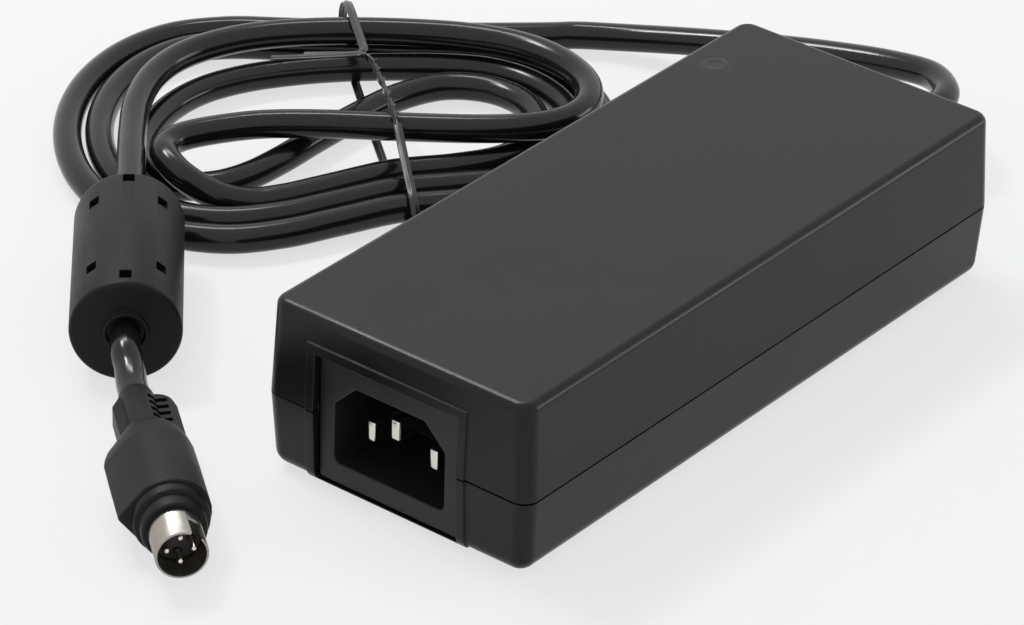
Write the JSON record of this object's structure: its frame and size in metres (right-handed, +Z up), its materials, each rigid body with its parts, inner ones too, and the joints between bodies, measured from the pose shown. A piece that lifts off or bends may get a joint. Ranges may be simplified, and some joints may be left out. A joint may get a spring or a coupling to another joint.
{
  "type": "laptop power adapter",
  "caption": "Desktop mains adapter for a laptop: slab case with a recessed mains inlet and its power supply inside, a low-voltage cord in a tied hank, a ferrite bead and a round plug.",
  "frame": {"origin": "bottom centre of the case, on the surface that its feet stand on; the cord and what is moulded on it are left out of it", "axes": "+Z up, +Y along the case from the mains inlet to the cord's exit, +X to the right seen from the inlet end"},
  "size_m": [0.1771, 0.2205, 0.0345],
  "materials": {
    "case_plastic": "fine spark-eroded texture, moulded black ABS blend",
    "foot_rubber": "soft black rubber",
    "smoked_lens": "smoked translucent plastic, flush with the case",
    "lens_plastic": "pale diffusing plastic",
    "moulded_black": "black moulded resin",
    "nickel": "bright nickel plate",
    "wire_sleeve": "wire sleeves",
    "board_laminate": "green resist over laminate",
    "pale_plastic": "pale sheet and potting",
    "yellow_plastic": "yellow film and tape",
    "ferrite": "dull grey sintered ferrite",
    "copper": "enamelled copper wire",
    "blue_coating": "coloured sleeve and dipped coating",
    "aluminium_sheet": "plain sheet",
    "steel": "zinc-plated steel",
    "cord_jacket": "smooth black PVC",
    "bead_plastic": "dull black moulded PVC",
    "tie_plastic": "black plastic over wire"
  },
  "bodies": {
    "root": {"upper_shell": "case_plastic", "lower_shell": "case_plastic", "foot_front_left": "foot_rubber", "foot_front_right": "foot_rubber", "foot_back_left": "foot_rubber", "foot_back_right": "foot_rubber", "indicator_lens": "smoked_lens", "status_led": "lens_plastic", "inlet_body": "moulded_black", "line_pin": "nickel", "neutral_pin": "nickel", "earth_pin": "nickel", "line_wire": "wire_sleeve", "neutral_wire": "wire_sleeve", "earth_wire": "wire_sleeve", "circuit_board": "board_laminate", "insulation_sheet": "pale_plastic", "fuse": "moulded_black", "thermistor": "moulded_black", "x_capacitor": "yellow_plastic", "choke_core": "ferrite", "choke_winding": "copper", "bridge_rectifier": "moulded_black", "y_capacitor_1": "blue_coating", "y_capacitor_2": "blue_coating", "bulk_capacitor": "blue_coating", "adhesive_pad": "pale_plastic", "primary_heatsink": "aluminium_sheet", "switching_transistor": "moulded_black", "transformer_core": "ferrite", "transformer_bobbin": "moulded_black", "transformer_winding": "yellow_plastic", "controller_chip": "moulded_black", "optocoupler": "pale_plastic", "secondary_heatsink": "aluminium_sheet", "output_rectifier": "moulded_black", "output_capacitor_1": "blue_coating", "output_capacitor_2": "blue_coating", "output_inductor": "copper", "heatsink_screws": "steel", "heatsink_nuts": "steel", "heat_spreader": "aluminium_sheet", "output_wire_positive": "wire_sleeve", "output_wire_negative": "wire_sleeve", "strain_relief": "cord_jacket", "cord_lead": "cord_jacket", "cord_hank": "cord_jacket", "cord_in_bead": "cord_jacket", "cord_tail": "cord_jacket", "ferrite_core": "ferrite", "bead_moulding": "bead_plastic", "plug_grip": "bead_plastic", "plug_shell": "nickel", "plug_insulator": "moulded_black", "plug_contacts": "nickel", "twist_tie": "tie_plastic"}
  },
  "joints": []
}
